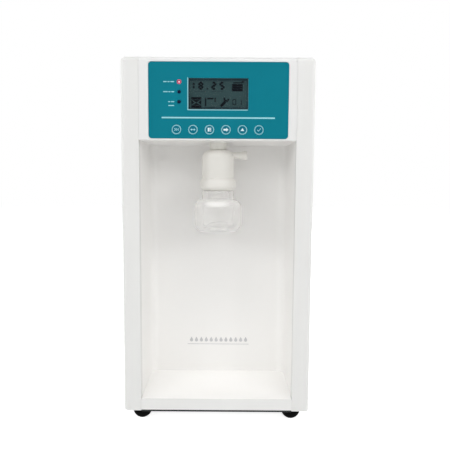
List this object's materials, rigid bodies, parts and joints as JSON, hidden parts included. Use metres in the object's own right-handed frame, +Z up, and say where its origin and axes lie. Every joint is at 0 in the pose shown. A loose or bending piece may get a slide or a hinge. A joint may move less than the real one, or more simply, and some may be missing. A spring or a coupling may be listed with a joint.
{
  "type": "ultrapure water system",
  "caption": "Bench-top laboratory water purifier: white sheet-metal cabinet with a recessed dispensing bay, key panel with display, final filter with bell, hinged service side.",
  "frame": {"origin": "centre of the whole box in plan, at the lowest face of the feet", "axes": "+Z up, front with the dispensing bay faces -Y, +X to the right of someone facing it"},
  "size_m": [0.283, 0.45, 0.546],
  "materials": {
    "panel_paint": "satin powder coat, off-white",
    "pan_paint": "dark grey powder coat",
    "zinc_steel": "zinc-plated sheet",
    "header_plastic": "satin white moulding",
    "liner_plastic": "satin white moulding",
    "overlay_film": "fine-grained blue-green film",
    "key_film": "blue-green film with light ring and icon",
    "clear_window": "clear window",
    "display_frame": "grey-green display",
    "lamp_red": "red lens, lit",
    "lamp_dark": "dark blue lens",
    "black_plastic": "fine-grained black plastic",
    "black_rubber": "black rubber",
    "circuit_board": "green solder mask",
    "grey_cable": "grey ribbon",
    "black_cable": "black sleeve",
    "brass_spacer": "turned brass",
    "rocker_plastic": "dark red rocker",
    "port_plastic": "white fitting",
    "collet_plastic": "grey collet",
    "valve_plastic": "off-white valve body",
    "cartridge_white": "white cartridge shell",
    "cartridge_blue": "pale blue cartridge shell",
    "pump_black": "black painted casting",
    "stainless": "polished stainless steel",
    "tube_plastic": "natural polyethylene",
    "capsule_plastic": "natural white polypropylene",
    "membrane_fleece": "pleated fleece",
    "bell_clear": "clear polycarbonate"
  },
  "bodies": {
    "cabinet": {"base_pan": "pan_paint", "frame_posts": "zinc_steel", "side_panel_left": "panel_paint", "hinge_leaf_frame": "zinc_steel", "hinge_pin": "zinc_steel", "door_catch": "black_plastic", "top_cover": "panel_paint", "rear_panel": "panel_paint", "case_screws": "zinc_steel", "foot_screws": "zinc_steel", "feet": "black_rubber", "bulkhead": "zinc_steel", "header_housing": "header_plastic", "alcove_liner": "liner_plastic", "control_overlay": "overlay_film", "display_window": "clear_window", "display_module": "display_frame", "status_lamp_lit": "lamp_red", "status_lamps_dark": "lamp_dark", "key_switches": "black_plastic", "display_board": "circuit_board", "ribbon_cable": "grey_cable", "main_board": "circuit_board", "board_spacers": "brass_spacer", "power_supply": "zinc_steel", "mains_inlet": "black_plastic", "switch_housing": "black_plastic", "power_wiring": "black_cable", "water_ports": "port_plastic", "feed_valve": "valve_plastic", "sediment_cartridge": "cartridge_white", "carbon_cartridge": "cartridge_blue", "polishing_cartridge": "cartridge_white", "cartridge_rack": "zinc_steel", "booster_pump": "pump_black", "pump_mounts": "black_rubber", "membrane_housing": "cartridge_white", "uv_chamber": "stainless", "module_clips": "black_plastic", "tank_tee": "port_plastic", "resistivity_cell": "valve_plastic", "dispense_valve": "valve_plastic", "outlet_fitting": "port_plastic", "internal_tubing": "tube_plastic"},
    "door": {"service_door": "panel_paint", "hinge_leaf_door": "zinc_steel"},
    "capsule": {"capsule_body": "capsule_plastic", "capsule_element": "membrane_fleece", "capsule_bell": "bell_clear"},
    "vent": {"vent_cap": "capsule_plastic"},
    "rocker": {"switch_rocker": "rocker_plastic"},
    "feed_release": {"collet_feed": "collet_plastic"},
    "tank_release": {"collet_tank": "collet_plastic"},
    "drain_release": {"collet_drain": "collet_plastic"},
    "circulate_key": {"key_circulate": "key_film"},
    "shift_key": {"key_shift": "key_film"},
    "menu_key": {"key_menu": "key_film"},
    "dispense_key": {"key_dispense": "key_film"},
    "up_key": {"key_up": "key_film"},
    "confirm_key": {"key_confirm": "key_film"}
  },
  "joints": [
    {"name": "door_swing", "type": "hinge", "parent": "cabinet", "child": "door", "pos_m": [0.1345, 0.198, 0.268], "axis": [0, 0, 1], "range_deg": [0, 100]},
    {"name": "capsule_pull", "type": "slide", "parent": "cabinet", "child": "capsule", "axis": [0, 0, -1], "range_m": [0, 0.022]},
    {"name": "vent_turn", "type": "hinge", "parent": "capsule", "child": "vent", "pos_m": [0.0355, -0.17, 0.408], "axis": [1, 0, 0], "range_deg": [0, 180]},
    {"name": "switch_rock", "type": "hinge", "parent": "cabinet", "child": "rocker", "pos_m": [-0.055, 0.2015, 0.208], "axis": [1, 0, 0], "range_deg": [-18, 0]},
    {"name": "circulate_press", "type": "slide", "parent": "cabinet", "child": "circulate_key", "axis": [0, 1, 0], "range_m": [0, 0.0005], "stiffness_N_per_m": 2000, "springref_m": -0.0005},
    {"name": "shift_press", "type": "slide", "parent": "cabinet", "child": "shift_key", "axis": [0, 1, 0], "range_m": [0, 0.0005], "stiffness_N_per_m": 2000, "springref_m": -0.0005},
    {"name": "menu_press", "type": "slide", "parent": "cabinet", "child": "menu_key", "axis": [0, 1, 0], "range_m": [0, 0.0005], "stiffness_N_per_m": 2000, "springref_m": -0.0005},
    {"name": "dispense_press", "type": "slide", "parent": "cabinet", "child": "dispense_key", "axis": [0, 1, 0], "range_m": [0, 0.0005], "stiffness_N_per_m": 2000, "springref_m": -0.0005},
    {"name": "up_press", "type": "slide", "parent": "cabinet", "child": "up_key", "axis": [0, 1, 0], "range_m": [0, 0.0005], "stiffness_N_per_m": 2000, "springref_m": -0.0005},
    {"name": "confirm_press", "type": "slide", "parent": "cabinet", "child": "confirm_key", "axis": [0, 1, 0], "range_m": [0, 0.0005], "stiffness_N_per_m": 2000, "springref_m": -0.0005},
    {"name": "feed_release_press", "type": "slide", "parent": "cabinet", "child": "feed_release", "axis": [0, -1, 0], "range_m": [0, 0.0015], "stiffness_N_per_m": 300, "springref_m": -0.001},
    {"name": "tank_release_press", "type": "slide", "parent": "cabinet", "child": "tank_release", "axis": [0, -1, 0], "range_m": [0, 0.0015], "stiffness_N_per_m": 300, "springref_m": -0.001},
    {"name": "drain_release_press", "type": "slide", "parent": "cabinet", "child": "drain_release", "axis": [0, -1, 0], "range_m": [0, 0.0015], "stiffness_N_per_m": 300, "springref_m": -0.001}
  ]
}
